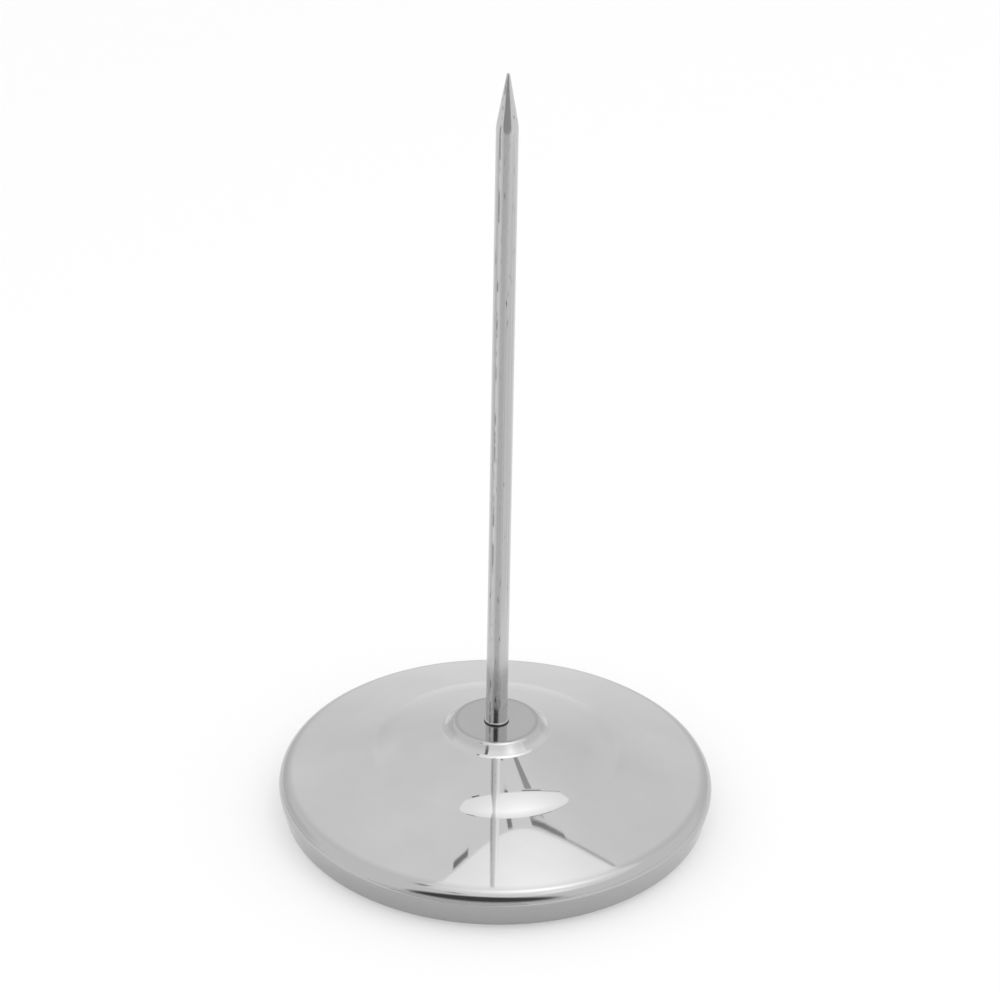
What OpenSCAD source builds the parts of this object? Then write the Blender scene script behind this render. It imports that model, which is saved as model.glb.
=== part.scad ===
// Bill spike: an upright pointed rod on a round weighted base, for spiking paid bills and order slips.
// The rod's threaded foot passes through a pressed sheet cover and a cast weight, and a nut in a
// recess under the weight clamps all three together. The underside of the rubber ring is Z = 0.
// All sizes are in millimetres and degrees.

/* [Base cover] */
// Outside diameter of the base
base_d = 90; // [70:1:130]
// Thickness of the pressed sheet
sheet_t = 0.8; // [0.5:0.1:1.2]
// Height of the rim's wall, from the hem to where the rim is widest
rim_h = 6; // [5:0.1:12]
// Lean of the rim's wall, in towards its foot
rim_lean = 14; // [0:0.5:16]
// Outside radius of the bend at the top edge of the rim
edge_r = 3; // [1.3:0.1:4]
// Outside radius of the curl at the foot of the rim
curl_r = 2; // [1.8:0.1:3.5]
// Width of the flat hem that is turned in under the weight
hem_w = 2.5; // [1:0.1:6]
// Slope of the flank where it meets the rim
rim_slope = 19.8; // [18.5:0.1:28]
// Slope of the flank on both sides of its step
flank_slope = 17.5; // [13:0.5:18.5]
// Steepest slope of the slight step that rings the flank
step_slope = 23.2; // [20:0.1:32]
// Distance from the axis at which the step is steepest
step_r = 24.3; // [20:0.1:30]
// Radius of the rounded bend at the top of the step, seen in section
step_round_r = 55; // [20:1:80]
// Radius of the hollow bend at the bottom of the step, seen in section
step_hollow_r = 19; // [10:1:50]
// Radius of the flat on top of the boss
boss_flat_r = 8.3; // [6:0.1:12]
// Height of the flat above the flank's own line at the flat's edge
boss_rise = 1.25; // [0.8:0.05:4]
// Slope of the boss's side
boss_slope = 45; // [40:1:60]
// Outside radius of the bend round the boss's shoulder
shoulder_r = 1.4; // [1.3:0.1:3]
// Outside radius of the hollow bend round the boss's foot
foot_r = 1.8; // [1.3:0.1:4]

/* [Spike] */
// Diameter of the rod
spike_d = 4.5; // [4.2:0.1:6]
// Length of the rod above the boss, with its point
spike_l = 150; // [80:1:220]
// Length of the ground point
point_l = 11.5; // [6:0.5:25]
// Diameter of the blunted tip
tip_d = 0.65; // [0.3:0.05:1.2]
// How far the collar at the foot of the rod stands out from it
collar_w = 0.3; // [0.15:0.05:1.5]
// Height of the collar
collar_h = 0.5; // [0.3:0.1:2]
// Thread diameter of the stud under the collar
stud_d = 4; // [3:0.5:4]
// How far the stud stands out of the nut
stud_proud = 1.1; // [0.5:0.1:3]
// Chamfer at the end of the stud
stud_chamfer = 0.5; // [0.2:0.1:0.8]

/* [Counterweight] */
// Gap between the weight's edge and the rim's wall, square to the wall
weight_gap = 0.8; // [0.2:0.1:1]
// How far the weight's plate stays below the top of the rim's wall
weight_drop = 0.8; // [0:0.1:2.5]
// Radius of the hub where it rises from the plate
hub_foot_r = 14; // [12:0.5:22]
// How far the hub's seat stays inside the flat of the boss
hub_inset = 0.5; // [0.2:0.1:1.5]
// Diameter of the recess for the nut
recess_d = 16; // [12:0.5:20]
// How far the stud's end stays inside the recess
recess_spare = 1; // [0.5:0.1:3]

/* [Fasteners] */
// Outside diameter of the flat washer
washer_d = 9; // [8.5:0.5:11]
// Thickness of the flat washer
washer_t = 0.8; // [0.5:0.1:1.5]
// Outside diameter of the split lock washer
lock_d = 7.6; // [7:0.1:9]
// Thickness of the split lock washer
lock_t = 0.9; // [0.6:0.1:1.6]
// Width of the split in the lock washer
lock_slit = 0.8; // [0.4:0.1:1.4]
// Lean of the split from upright
lock_lean = 25; // [0:5:40]
// Width of the nut across its flats
nut_af = 7; // [6.5:0.1:9]
// Height of the nut
nut_h = 3.2; // [2:0.1:5]
// Radial clearance of the holes that the stud passes through
hole_clear = 0.25; // [0.1:0.05:0.5]
// Radial clearance in the thread of the nut
thread_clear = 0.05; // [0.02:0.01:0.1]

/* [Foot ring] */
// How far the rubber ring stands below the hem
foot_proud = 0.6; // [0.2:0.1:2]
// Diameter of the hole in the middle of the ring
foot_hole_d = 24; // [18:1:40]
// Gap between the ring and the hem
foot_gap = 0.7; // [0.3:0.1:2]

/* [Hidden] */
$fa = 1;
$fs = 0.3;

// Straight pieces that each bend of the cover's section is drawn with.
bend_steps = 12;

function unit(angle) = [cos(angle), sin(angle)];

// Points along a bend, from one angle to another; a bend that carries on from the last leaves out its first.
function bend(centre, r, from, to, first = 0) =
    [for (i = [first : bend_steps]) centre + r * unit(from + (to - from) * i / bend_steps)];

// Section of the cover in radius and height: the bends' centres follow from the rim inwards. A bend's
// angle is that of the line square to the skin, so a slope of 0 stands at 90.
base_r = base_d / 2;
hem_z = foot_proud;
edge_c = [base_r - edge_r, hem_z + rim_h];
wall_l = (rim_h - curl_r - (edge_r - curl_r) * sin(rim_lean)) / cos(rim_lean);
curl_c = edge_c + (edge_r - curl_r) * unit(-rim_lean) - wall_l * unit(90 - rim_lean);
hem_r = curl_c.x;
hem_in_r = hem_r - hem_w;
rim_a = 90 - rim_slope;
flank_a = 90 - flank_slope;
step_a = 90 - step_slope;
boss_a = 90 - boss_slope;

// The outer flank is one arc, crowned just enough to reach from the step to the rim.
crown_out = edge_c + edge_r * unit(rim_a);
crown_in_r = step_r + step_hollow_r * (cos(step_a) - cos(flank_a));
crown_r = (crown_out.x - crown_in_r) / (cos(rim_a) - cos(flank_a));
crown_c = crown_out - crown_r * unit(rim_a);
hollow_c = crown_c + (crown_r + step_hollow_r) * unit(flank_a);
round_c = hollow_c - (step_hollow_r + step_round_r) * unit(step_a);

// The inner flank is straight, and the boss rises from it.
flank_in = round_c + step_round_r * unit(flank_a);
boss_z = flank_in.y + (flank_in.x - boss_flat_r) * tan(flank_slope) + boss_rise;
shoulder_c = [boss_flat_r, boss_z - shoulder_r];

// The bend round the boss's foot touches both the boss's straight side and the inner flank.
foot_over = shoulder_c + (shoulder_r + foot_r) * unit(boss_a);
boss_side_l = ((foot_over - flank_in) * unit(flank_a) - foot_r) / sin(boss_slope - flank_slope);
foot_c = foot_over + boss_side_l * unit(-boss_slope);

// The cover's skin at a depth in the sheet, from the hole in the boss to the edge of the hem.
function skin(depth) = concat(
    [[stud_hole_r, boss_z - depth]],
    bend(shoulder_c, shoulder_r - depth, 90, boss_a),
    bend(foot_c, foot_r + depth, 180 + boss_a, 180 + flank_a),
    bend(round_c, step_round_r - depth, flank_a, step_a),
    bend(hollow_c, step_hollow_r + depth, 180 + step_a, 180 + flank_a, first = 1),
    bend(crown_c, crown_r - depth, flank_a, rim_a, first = 1),
    bend(edge_c, edge_r - depth, rim_a, -rim_lean, first = 1),
    bend(curl_c, curl_r - depth, -rim_lean, -90),
    [[hem_in_r, hem_z + depth]]
);

// The weight lies on the hem, its edge leans like the rim's wall, and its hub reaches the underside of
// the boss.
stud_r = stud_d / 2;
stud_hole_r = stud_r + hole_clear;
weight_z = hem_z + sheet_t;
weight_foot = curl_c + (curl_r - sheet_t - weight_gap) * unit(-rim_lean);
weight_top = hem_z + rim_h - weight_drop;
weight_top_r = weight_foot.x + (weight_top - weight_foot.y) * tan(rim_lean);
hub_z = boss_z - sheet_t;
hub_top_r = boss_flat_r - hub_inset;
recess_r = recess_d / 2;
recess_h = washer_t + lock_t + nut_h + stud_proud + recess_spare;

// The washers and the nut hang under the roof of the recess, in this order.
washer_z = weight_z + recess_h - washer_t;
lock_z = washer_z - lock_t;
nut_z = lock_z - nut_h;
stud_z = nut_z - stud_proud;

spike_r = spike_d / 2;
tip_r = tip_d / 2;
corner_angle = 30;
nut_corner_r = nut_af / 2 / cos(corner_angle);
overcut = 1;

// A round hole along Z through whatever lies between two heights.
module hole(r, low, high) {
    translate([0, 0, low - overcut]) cylinder(r = r, h = high - low + 2 * overcut);
}

// Sheet pressing of one thickness: boss, flank, rim, curl and hem. Its section is one closed outline,
// out along the outer skin and back along the inner one.
module base_cover() {
    inner = skin(sheet_t);
    inner_reversed = [for (i = [len(inner) - 1 : -1 : 0]) inner[i]];
    color("silver") rotate_extrude() polygon(concat(skin(0), inner_reversed));
}

// Drawn rod with a ground point, a round-edged collar that bears on the boss, and a stud below it.
module spike() {
    shank_h = spike_l - point_l;
    color("gainsboro") {
        translate([0, 0, boss_z]) {
            cylinder(r = spike_r, h = shank_h);
            translate([0, 0, shank_h]) cylinder(r1 = spike_r, r2 = tip_r, h = point_l - tip_r);
            translate([0, 0, spike_l - tip_r]) sphere(tip_r);
            rotate_extrude() {
                square([spike_r + collar_w - collar_h / 2, collar_h]);
                translate([spike_r + collar_w - collar_h / 2, collar_h / 2]) circle(collar_h / 2);
            }
        }
        translate([0, 0, stud_z + stud_chamfer]) cylinder(r = stud_r, h = boss_z - stud_z - stud_chamfer);
        translate([0, 0, stud_z]) cylinder(r1 = stud_r - stud_chamfer, r2 = stud_r, h = stud_chamfer);
    }
}

// Cast plate with a tapered hub, bored for the stud and recessed from below for the nut.
module counterweight() {
    color("dimgray") rotate_extrude() polygon([
        [recess_r, weight_z],
        [hem_r, weight_z],
        weight_foot,
        [weight_top_r, weight_top],
        [hub_foot_r, weight_top],
        [hub_top_r, hub_z],
        [stud_hole_r, hub_z],
        [stud_hole_r, weight_z + recess_h],
        [recess_r, weight_z + recess_h],
    ]);
}

// Plain washer that spreads the nut's load on the roof of the recess.
module flat_washer() {
    color("lightgray") difference() {
        translate([0, 0, washer_z]) cylinder(d = washer_d, h = washer_t);
        hole(stud_hole_r, washer_z, washer_z + washer_t);
    }
}

// Spring washer, drawn pressed flat, with its slanting split to one side.
module lock_washer() {
    slit_l = lock_d / 2 + overcut;
    slit_h = 2 * (lock_t + overcut);
    color("darkgray") difference() {
        translate([0, 0, lock_z]) cylinder(d = lock_d, h = lock_t);
        hole(stud_hole_r, lock_z, lock_z + lock_t);
        translate([slit_l / 2, 0, lock_z + lock_t / 2])
            rotate([lock_lean, 0, 0]) cube([slit_l, lock_slit, slit_h], center = true);
    }
}

// Hexagon nut with its corners turned off at both ends.
module hex_nut() {
    corner_drop = (nut_corner_r - nut_af / 2) * tan(corner_angle);
    color("lightgray") difference() {
        translate([0, 0, nut_z]) intersection() {
            cylinder(r = nut_corner_r, h = nut_h, $fn = 6);
            rotate_extrude() polygon([
                [0, 0],
                [nut_af / 2, 0],
                [nut_corner_r, corner_drop],
                [nut_corner_r, nut_h - corner_drop],
                [nut_af / 2, nut_h],
                [0, nut_h],
            ]);
        }
        hole(stud_r + thread_clear, nut_z, nut_z + nut_h);
    }
}

// Moulded rubber ring glued under the weight, inside the hem, so that the metal clears the table.
module foot_ring() {
    color("black") difference() {
        cylinder(r = hem_in_r - foot_gap, h = weight_z);
        hole(foot_hole_d / 2, 0, weight_z);
    }
}

base_cover();
spike();
counterweight();
flat_washer();
lock_washer();
hex_nut();
foot_ring();
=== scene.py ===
"""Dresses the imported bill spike: pressed cover, drawn spike, cast weight, fasteners and rubber ring."""
import math

import bpy
from bpy.props import FloatProperty, FloatVectorProperty, IntProperty, PointerProperty
from mathutils import Euler, Matrix, Vector


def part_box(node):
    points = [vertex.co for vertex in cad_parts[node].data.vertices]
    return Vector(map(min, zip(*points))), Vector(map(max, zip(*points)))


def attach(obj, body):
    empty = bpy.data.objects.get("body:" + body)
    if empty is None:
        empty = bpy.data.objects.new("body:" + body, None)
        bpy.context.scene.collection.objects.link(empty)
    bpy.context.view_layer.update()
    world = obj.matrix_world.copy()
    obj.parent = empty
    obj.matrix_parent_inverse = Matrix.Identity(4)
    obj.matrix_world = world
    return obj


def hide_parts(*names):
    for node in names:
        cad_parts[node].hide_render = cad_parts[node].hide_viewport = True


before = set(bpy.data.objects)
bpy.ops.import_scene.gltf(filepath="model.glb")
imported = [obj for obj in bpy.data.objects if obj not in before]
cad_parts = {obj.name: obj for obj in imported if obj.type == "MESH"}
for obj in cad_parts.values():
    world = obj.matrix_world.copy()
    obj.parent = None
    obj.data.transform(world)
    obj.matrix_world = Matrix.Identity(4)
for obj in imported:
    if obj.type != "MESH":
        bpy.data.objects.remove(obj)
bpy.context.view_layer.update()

bl_info = {
    "name": "Bill Spike",
    "version": (1, 0, 0),
    "blender": (4, 5, 0),
    "location": "View3D > Sidebar > Bill Spike",
    "description": "Models a bill spike round its packed solids and sets a soft studio for it",
    "category": "Add Mesh",
}

MM = 0.001
BODY = "root"

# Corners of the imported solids, which the sizes below start from
COVER_LOW, COVER_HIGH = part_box("base_cover")
SPIKE_LOW, SPIKE_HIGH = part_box("spike")
WEIGHT_LOW, WEIGHT_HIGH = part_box("counterweight")
WASHER_LOW, WASHER_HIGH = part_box("flat_washer")
LOCK_LOW, LOCK_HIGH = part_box("lock_washer")
NUT_LOW, NUT_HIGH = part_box("hex_nut")
RING_LOW, RING_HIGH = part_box("foot_ring")

# Fineness of the meshes
TURN_STEPS = 180
SMALL_TURN_STEPS = 96
THREAD_STEPS = 36
CARD_STEPS = 64
SEED = 1 * MM
WELD = 0.001 * MM

# How far a cutting tool reaches past what it cuts
OVERCUT = 1 * MM

FULL_TURN = 2 * math.pi
HALF_TURN = math.pi
QUARTER = math.pi / 2
NUT_SIDES = 6
LAMP_SIDES = 8
LAMP_SIDE_ANGLE = FULL_TURN / LAMP_SIDES

# Steps from the floor to the cards that lie on it, and from the lamp down to its fittings
FLOOR_GAP = 0.02 * MM
FITTING_DROP = 5 * MM

# Width of the picture in pixels and of the camera's sensor in millimetres
PICTURE = 1000
SENSOR = 36

# Most of a noise texture lies between these values
NOISE_LOW = 0.3
NOISE_HIGH = 0.7


def linear(hex_colour):
    """Linear red, green and blue of an sRGB colour such as #C8C8C8, by the standard's own curve."""
    channels = [int(hex_colour[i:i + 2], 16) / 255 for i in (1, 3, 5)]
    return [c / 12.92 if c <= 0.04045 else ((c + 0.055) / 1.055) ** 2.4 for c in channels]


# Settings that a user may change

def length(name, description, metres):
    return FloatProperty(name=name, description=description, default=metres, min=0, precision=5,
                         unit="LENGTH", subtype="DISTANCE")


def angle(name, description, degrees):
    return FloatProperty(name=name, description=description, default=math.radians(degrees),
                         unit="ROTATION", subtype="ANGLE")


def share(name, description, value):
    return FloatProperty(name=name, description=description, default=value, min=0, max=1, subtype="FACTOR")


def colour(name, description, hex_colour):
    return FloatVectorProperty(name=name, description=description, default=linear(hex_colour), size=3,
                               min=0, max=1, subtype="COLOR")


class CoverSettings(bpy.types.PropertyGroup):
    """The pressed cover; each bend's radius is on the outside of the sheet."""
    base_d: length("Base", "Outside diameter of the base", COVER_HIGH.x - COVER_LOW.x)
    sheet_t: length("Sheet", "Thickness of the pressed sheet", 0.8 * MM)
    rim_h: length("Rim", "Height of the rim's wall, from the hem to where the rim is widest", 6 * MM)
    rim_lean: angle("Rim's lean", "Lean of the rim's wall, in towards its foot", 14)
    edge_r: length("Edge bend", "Radius of the bend at the top of the rim", 3 * MM)
    curl_r: length("Curl", "Radius of the curl at the foot of the rim", 2 * MM)
    hem_w: length("Hem", "Width of the flat hem under the weight", 2.5 * MM)
    rim_slope: angle("Slope at the rim", "Slope of the flank where it meets the rim", 19.8)
    flank_slope: angle("Slope of the flank", "Slope of the flank on both sides of its step", 17.5)
    step_slope: angle("Slope of the step", "Steepest slope of the slight step round the flank", 23.2)
    step_r: length("Step", "Distance from the axis at which the step is steepest", 24.3 * MM)
    step_round_r: length("Step's round", "Radius of the rounded bend at the top of the step", 55 * MM)
    step_hollow_r: length("Step's hollow", "Radius of the hollow bend at the bottom of the step", 19 * MM)
    boss_flat_r: length("Boss", "Radius of the flat on top of the boss", 8.3 * MM)
    boss_slope: angle("Slope of the boss", "Slope of the boss's side", 45)
    shoulder_r: length("Shoulder", "Radius of the bend round the boss's shoulder", 1.4 * MM)
    foot_r: length("Boss's foot", "Radius of the hollow bend round the boss's foot", 1.8 * MM)
    hole_r: length("Hole", "Radius of the hole that the stud passes through", 2.25 * MM)
    burr_r: length("Broken edge", "Rounding of the sheet's cut edges", 0.15 * MM)


class SpikeSettings(bpy.types.PropertyGroup):
    """The drawn rod with its ground point, collar and threaded stud."""
    rod_d: length("Rod", "Diameter of the drawn rod", 4.5 * MM)
    point_l: length("Point", "Length of the ground point", 11.5 * MM)
    point_round_r: length("Point's round", "Radius that blends the point into the rod", 12 * MM)
    tip_d: length("Tip", "Diameter of the blunted tip", 0.65 * MM)
    tip_round_r: length("Tip's round", "Rounding of the tip's edge", 0.12 * MM)
    collar_d: length("Collar", "Outside diameter of the collar", SPIKE_HIGH.x - SPIKE_LOW.x)
    collar_h: length("Collar's height", "Height of the collar", 0.5 * MM)
    stud_d: length("Stud", "Diameter of the stud above its thread", 4 * MM)
    stud_chamfer: length("Stud's chamfer", "Chamfer at the end of the stud", 0.5 * MM)
    thread_d: length("Thread", "Diameter over the thread's crests", 3.9 * MM)
    thread_l: length("Thread's length", "Length of the threaded end", 9 * MM)
    thread_pitch: length("Pitch", "Distance from one thread to the next", 0.7 * MM)
    thread_depth: length("Thread's depth", "Height of the thread from root to crest", 0.4 * MM)


class WeightSettings(bpy.types.PropertyGroup):
    """The cast weight and the rubber ring under it."""
    plate_h: length("Plate", "Thickness of the weight's plate", 4.4 * MM)
    edge_lean: angle("Edge's lean", "Lean of the plate's edge, in towards its foot", 14)
    hub_foot_r: length("Hub's foot", "Radius of the hub where it rises from the plate", 14 * MM)
    hub_top_r: length("Hub's seat", "Radius of the hub's seat under the boss", 7.8 * MM)
    chamfer_w: length("Chamfer's width", "Width of the chamfer round the plate's lower edge", 0.4 * MM)
    chamfer_h: length("Chamfer's height", "Height of the chamfer round the plate's lower edge", 1.1 * MM)
    recess_r: length("Recess", "Radius of the recess for the nut", 8 * MM)
    recess_h: length("Recess's depth", "Depth of the recess for the nut", 7 * MM)
    cast_r: length("Cast corners", "Rounding of the casting's corners", 0.5 * MM)
    ring_hole_r: length("Ring's hole", "Radius of the hole in the rubber ring", 12 * MM)
    ring_corner_r: length("Ring's corners", "Rounding of the ring's lower edges", 0.3 * MM)
    groove_r: length("Groove", "Radius of the grip grooves under the ring", 0.4 * MM)
    grooves: IntProperty(name="Grooves", description="Number of grip grooves", default=8, min=1, max=16)


class FastenerSettings(bpy.types.PropertyGroup):
    """The washers and the nut."""
    washer_edge_r: length("Washer's edge", "Rounding of the stamped washer's edges", 0.12 * MM)
    slit_w: length("Slit", "Width of the lock washer's slit", 0.8 * MM)
    slit_lean: angle("Slit's lean", "Lean of the slit from upright", 25)
    corner_angle: angle("Nut's bevel", "Angle at which the nut's corners are turned off", 30)
    countersink: length("Countersink", "Width of the countersink in the nut's bore", 0.25 * MM)
    clearance: length("Thread's clearance", "Radial clearance in the thread of the nut", 0.05 * MM)


class FinishSettings(bpy.types.PropertyGroup):
    """Colours of the finishes, each of which varies between a dark and a light shade."""
    sheet_dark: colour("Sheet, dark", "Polished sheet where it is haziest", "#C1C1C1")
    sheet_light: colour("Sheet, light", "Polished sheet where it is clearest", "#CFCFCF")
    # Painted shade: the darker colour on the rim's and the boss's bends dims the lamp's reflections there
    sheet_bend_shade: colour("Sheet's bends", "Bends of the sheet that the wheel only grazes", "#BABABA")
    sheet_glance: colour("Sheet's glance", "Tint of the sheet's glancing reflections", "#F6F6F6")
    rod_dark: colour("Rod, dark", "Drawn rod in the hollows of its lines", "#B9B9B9")
    rod_light: colour("Rod, light", "Drawn rod on the ridges of its lines", "#CFCFCF")
    # Painted shade: this colour also darkens the collar from its middle down to the boss
    rod_wear_and_shade: colour("Rod's marks", "Pits, the die's mark and old polish on the rod", "#5A5A5A")
    primer_dark: colour("Primer, dark", "Primer where it lies thick", "#222326")
    primer_light: colour("Primer, light", "Primer where it lies thin", "#3A3B3E")
    zinc_dark: colour("Zinc, dark", "Zinc plate in its bluer clouds", "#A9AEB6")
    zinc_light: colour("Zinc, light", "Zinc plate in its paler clouds", "#C9CBCB")
    rubber_dark: colour("Rubber, dark", "Rubber without bloom", "#161617")
    rubber_light: colour("Rubber, light", "Rubber with a little bloom", "#252525")


class StudioSettings(bpy.types.PropertyGroup):
    """The camera, the floor and the light."""
    lens: FloatProperty(name="Lens", description="Focal length of the camera", default=224, unit="CAMERA")
    distance: length("Distance", "From the camera to the middle of the base", 1.3)
    elevation: angle("Elevation", "Camera's height above the base, as an angle", 34)
    roll: angle("Roll", "Turn of the camera about its own line of sight", 1.05)
    base_column: FloatProperty(name="Column", description="Picture column of the middle of the base",
                               default=500.6, subtype="PIXEL")
    base_row: FloatProperty(name="Row", description="Picture row of the middle of the base",
                            default=807, subtype="PIXEL")
    floor_d: length("Floor", "Diameter of the floor", 1.4)
    floor_colour: colour("Floor's colour", "Pale matt floor", "#FBFBFB")
    floor_glow: share("Floor's glow", "Share of the floor's brightness that comes through it from below", 0.4)
    tent: FloatProperty(name="Tent", description="Brightness of the white tent all round", default=0.98)
    lamp_r: length("Lamp", "Radius of the eight-sided lamp to its corners", 0.6965)
    lamp_x: length("Lamp's side", "Place of the lamp to the right of the object", 0.2815)
    lamp_y: length("Lamp's front", "Place of the lamp in front of the object", 0.3057)
    lamp_h: length("Lamp's height", "Height of the lamp above the floor", 0.9)
    lamp_turn: angle("Lamp's turn", "Turn of the lamp about its upright axis", -5.9)
    lamp_edge: FloatProperty(name="Lamp's edge", description="Brightness of its edge", default=1.2)
    table_colour: colour("Table's colour", "Grey table that the metal mirrors", "#B4B4B4")
    shade: share("Shade", "Share of the floor that the grey in front of the base hides", 0.4)
    shade_r: length("Shade's reach", "Radius of the grey close round the base", 0.056)
    shade_start: share("Shade's start", "Share of its reach at which the grey begins", 1 / 6)
    shade_turn: angle("Shade's turn", "Turn of the grey to the right of the front", -4)
    room: share("Room", "Brightness of the unlit room round the camera", 0.08)
    room_soft: share("Room's soft edge", "Share of the wall over which its edge fades", 0.22)
    room_side: FloatProperty(name="Room's side", description="Middle of the unlit wall, right of the object",
                             default=-0.28, unit="LENGTH", subtype="DISTANCE")
    counter: share("Counter", "Brightness of the grey counter at the foot of the unlit wall", 0.42)
    counter_h: length("Counter's height", "Height of the grey counter", 0.36)
    room_near: length("Room's start", "Distance in front of the object where the lit table ends", 0.34)
    room_far: length("Room's wall", "Distance in front of the object of the room's wall", 2)
    room_h: length("Room's height", "Height of the unlit wall", 2.2)
    room_half: angle("Room's width", "Half of the angle that the unlit room fills", 41)


class BillSpikeSettings(bpy.types.PropertyGroup):
    """All settings of the bill spike."""
    cover: PointerProperty(type=CoverSettings)
    spike: PointerProperty(type=SpikeSettings)
    weight: PointerProperty(type=WeightSettings)
    fasteners: PointerProperty(type=FastenerSettings)
    finishes: PointerProperty(type=FinishSettings)
    studio: PointerProperty(type=StudioSettings)


# Modelling by hand

def unit(direction):
    """Step of length one in the section, as radius and height."""
    return Vector((math.cos(direction), math.sin(direction)))


def point(radius, height):
    return Vector((radius, height))


def pick(piece):
    """Select this piece alone and make it the active one."""
    bpy.ops.object.select_all(action="DESELECT")
    piece.select_set(True)
    bpy.context.view_layer.objects.active = piece


def new_mesh(name, primitive, scale=(1, 1, 1), **settings):
    """Add a primitive with nothing else selected, name it, and put its place, turn and scale in its mesh."""
    bpy.ops.object.select_all(action="DESELECT")
    primitive(**settings)
    piece = bpy.context.object
    piece.name = name
    piece.scale = scale
    bpy.ops.object.transform_apply(location=True, rotation=True, scale=True)
    return piece


class Section:
    """Half section of a turned piece: one vertex in the XZ plane, extruded and spun into an outline."""

    def __init__(self, name, start):
        self.piece = new_mesh(name, bpy.ops.mesh.primitive_plane_add, size=SEED,
                              location=(start.x, 0, start.y))
        self.pen = start
        bpy.ops.object.mode_set(mode="EDIT")
        bpy.ops.mesh.merge(type="CENTER")

    def line(self, end, steps=1):
        """Extrude straight to a point."""
        step = (end - self.pen) / steps
        bpy.ops.mesh.extrude_repeat(steps=steps, offset=(step.x, 0, step.y))
        self.pen = end

    def bend(self, centre, sweep, steps):
        """Spin about a centre; a positive sweep turns from the radius towards the height."""
        bpy.ops.mesh.spin(steps=steps, angle=sweep, center=(centre.x, 0, centre.y), axis=(0, 1, 0))
        self.pen = centre + Matrix.Rotation(sweep, 2) @ (self.pen - centre)

    def turn(self, steps=TURN_STEPS):
        """Spin the outline once round the axis, close it and leave edit mode."""
        bpy.ops.mesh.select_all(action="SELECT")
        bpy.ops.mesh.spin(steps=steps, angle=FULL_TURN, center=(0, 0, 0), axis=(0, 0, 1))
        weld()
        return self.piece


def select_vertices(piece, test):
    """In edit mode, select only the vertices whose place passes a test."""
    bpy.ops.mesh.select_all(action="DESELECT")
    bpy.ops.object.mode_set(mode="OBJECT")
    for vertex in piece.data.vertices:
        vertex.select = test(vertex.co)
    bpy.ops.object.mode_set(mode="EDIT")


def weld():
    """Merge what lies together, point the faces outwards and leave edit mode."""
    bpy.ops.mesh.select_all(action="SELECT")
    bpy.ops.mesh.remove_doubles(threshold=WELD)
    bpy.ops.mesh.normals_make_consistent(inside=False)
    bpy.ops.object.mode_set(mode="OBJECT")


def modify(piece, kind, **settings):
    """Add a modifier with its settings and apply it."""
    pick(piece)
    bpy.ops.object.modifier_add(type=kind)
    modifier = piece.modifiers[-1]
    for field, value in settings.items():
        setattr(modifier, field, value)
    bpy.ops.object.modifier_apply(modifier=modifier.name)


def combine(piece, tool, operation):
    """Join, cut or intersect a piece with a tool, which is used up."""
    modify(piece, "BOOLEAN", operation=operation, object=tool, solver="EXACT")
    bpy.data.objects.remove(tool)
    bpy.ops.object.mode_set(mode="EDIT")
    weld()


def round_edges(piece, radius, over_angle, segments=3):
    modify(piece, "BEVEL", width=radius, segments=segments, limit_method="ANGLE",
           angle_limit=math.radians(over_angle))


def turned(name, outline, steps=TURN_STEPS):
    """A piece turned from a closed outline of straight lines."""
    section = Section(name, outline[0])
    for corner in outline[1:] + outline[:1]:
        section.line(corner)
    return section.turn(steps)


def threaded_rod(name, crest_r, low, high, spike):
    """A closed length of right-hand thread, cut off square at both ends."""
    pitch = spike.thread_pitch
    root_r = crest_r - spike.thread_depth
    crest_w = pitch / 8
    root_w = pitch / 4
    flank_w = (pitch - crest_w - root_w) / 2

    # All threads start a whole number of turns above the stud's end, so that the nut's fits the stud's
    start = SPIKE_LOW.z + math.ceil((high - SPIKE_LOW.z) / pitch) * pitch
    section = Section(name, point(root_r, start))
    section.line(point(root_r, start + root_w))
    section.line(point(crest_r, start + root_w + flank_w))
    section.line(point(crest_r, start + root_w + flank_w + crest_w))
    section.line(point(root_r, start + pitch))
    turns = math.ceil((start - low) / pitch) + 1
    bpy.ops.mesh.select_all(action="SELECT")
    bpy.ops.mesh.screw(steps=THREAD_STEPS, turns=turns, center=(0, 0, 0), axis=(0, 0, 1))
    bpy.ops.mesh.select_all(action="SELECT")
    bpy.ops.mesh.remove_doubles(threshold=WELD)

    # The screw tool only winds left-hand threads, so this one is mirrored
    bpy.ops.transform.resize(value=(1, -1, 1), center_override=(0, 0, 0))
    for height, facing in ((high, 1), (low, -1)):
        bpy.ops.mesh.select_all(action="SELECT")
        bpy.ops.mesh.bisect(plane_co=(0, 0, height), plane_no=(0, 0, facing), use_fill=True,
                            clear_outer=True, threshold=WELD)
    weld()
    return section.piece


def finish(piece, node, material, smooth_under):
    """Smooth the piece, give it its finish and put it in its CAD node's place."""
    pick(piece)
    bpy.ops.object.shade_smooth_by_angle(angle=math.radians(smooth_under))
    piece.data.materials.clear()
    piece.data.materials.append(material)
    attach(piece, BODY)
    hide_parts(node)


# Finishes

def add(tree, kind, sockets=None, **fields):
    """Add a node, set its fields and fill its sockets with values or with links. A link comes from a socket,
    or from a node, which gives its first output in use."""
    node = tree.nodes.new(kind)
    for field, value in fields.items():
        setattr(node, field, value)
    for name, value in (sockets or {}).items():
        if isinstance(value, bpy.types.Node):
            value = next(output for output in value.outputs if output.enabled)
        if isinstance(value, bpy.types.NodeSocket):
            tree.links.new(value, node.inputs[name])
        else:
            node.inputs[name].default_value = value
    return node


def new_material(name):
    """An empty material with its tree and the piece's own coordinates."""
    material = bpy.data.materials.new(name)
    material.use_nodes = True
    tree = material.node_tree
    tree.nodes.clear()
    place = add(tree, "ShaderNodeTexCoord").outputs["Object"]
    return material, tree, place


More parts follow.
